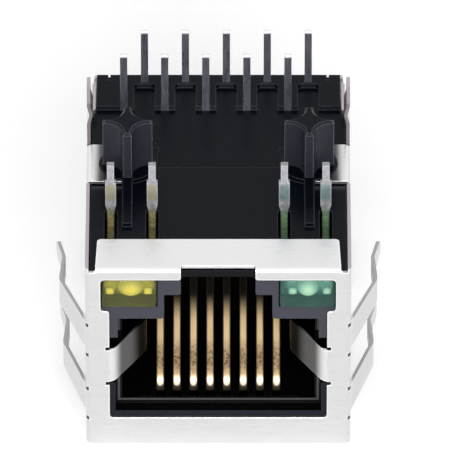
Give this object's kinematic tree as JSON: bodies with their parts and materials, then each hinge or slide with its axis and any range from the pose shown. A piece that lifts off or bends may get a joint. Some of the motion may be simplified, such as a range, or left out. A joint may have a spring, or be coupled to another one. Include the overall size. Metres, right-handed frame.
{
  "type": "rj45 board jack",
  "caption": "Right-angle through-hole network jack with a folded metal shield, spring contacts, two indicator lamps, board posts and pins, shown pins up.",
  "frame": {"origin": "centre of the footprint on the surface that the jack lies on, which is the outside of its shield roof", "axes": "+Z towards the circuit board (pins up), port facing -Y, +X to the right seen from the port"},
  "size_m": [0.02, 0.021, 0.0173],
  "materials": {
    "shield_plate": "tin-plated sheet with a fine horizontal grain",
    "black_plastic": "moulded black thermoplastic, glossy",
    "gold_contact": "gold-plated spring wire",
    "tin_pin": "bright tin plating",
    "yellow_lens": "translucent yellow epoxy",
    "green_lens": "translucent green epoxy",
    "board_laminate": "glass-epoxy laminate",
    "ferrite": "ferrite",
    "capacitor_body": "fired ceramic with tinned ends",
    "chip_body": "fired ceramic with a dark coat"
  },
  "bodies": {
    "root": {"front_shield": "shield_plate", "rear_shield": "shield_plate", "housing": "black_plastic", "pin_carrier": "black_plastic", "contact_sled": "black_plastic", "contact_1": "gold_contact", "contact_2": "gold_contact", "contact_3": "gold_contact", "contact_4": "gold_contact", "contact_5": "gold_contact", "contact_6": "gold_contact", "contact_7": "gold_contact", "contact_8": "gold_contact", "signal_pin_1": "tin_pin", "signal_pin_2": "tin_pin", "signal_pin_3": "tin_pin", "signal_pin_4": "tin_pin", "signal_pin_5": "tin_pin", "signal_pin_6": "tin_pin", "signal_pin_7": "tin_pin", "signal_pin_8": "tin_pin", "signal_pin_9": "tin_pin", "signal_pin_10": "tin_pin", "led_left": "yellow_lens", "led_right": "green_lens", "led_lead_1": "tin_pin", "led_lead_2": "tin_pin", "led_lead_3": "tin_pin", "led_lead_4": "tin_pin", "filter_board": "board_laminate", "transformer_core_1": "ferrite", "transformer_core_2": "ferrite", "choke_core_1": "ferrite", "choke_core_2": "ferrite", "shield_capacitor": "capacitor_body", "resistor_1": "chip_body", "resistor_2": "chip_body", "resistor_3": "chip_body", "resistor_4": "chip_body"}
  },
  "joints": []
}
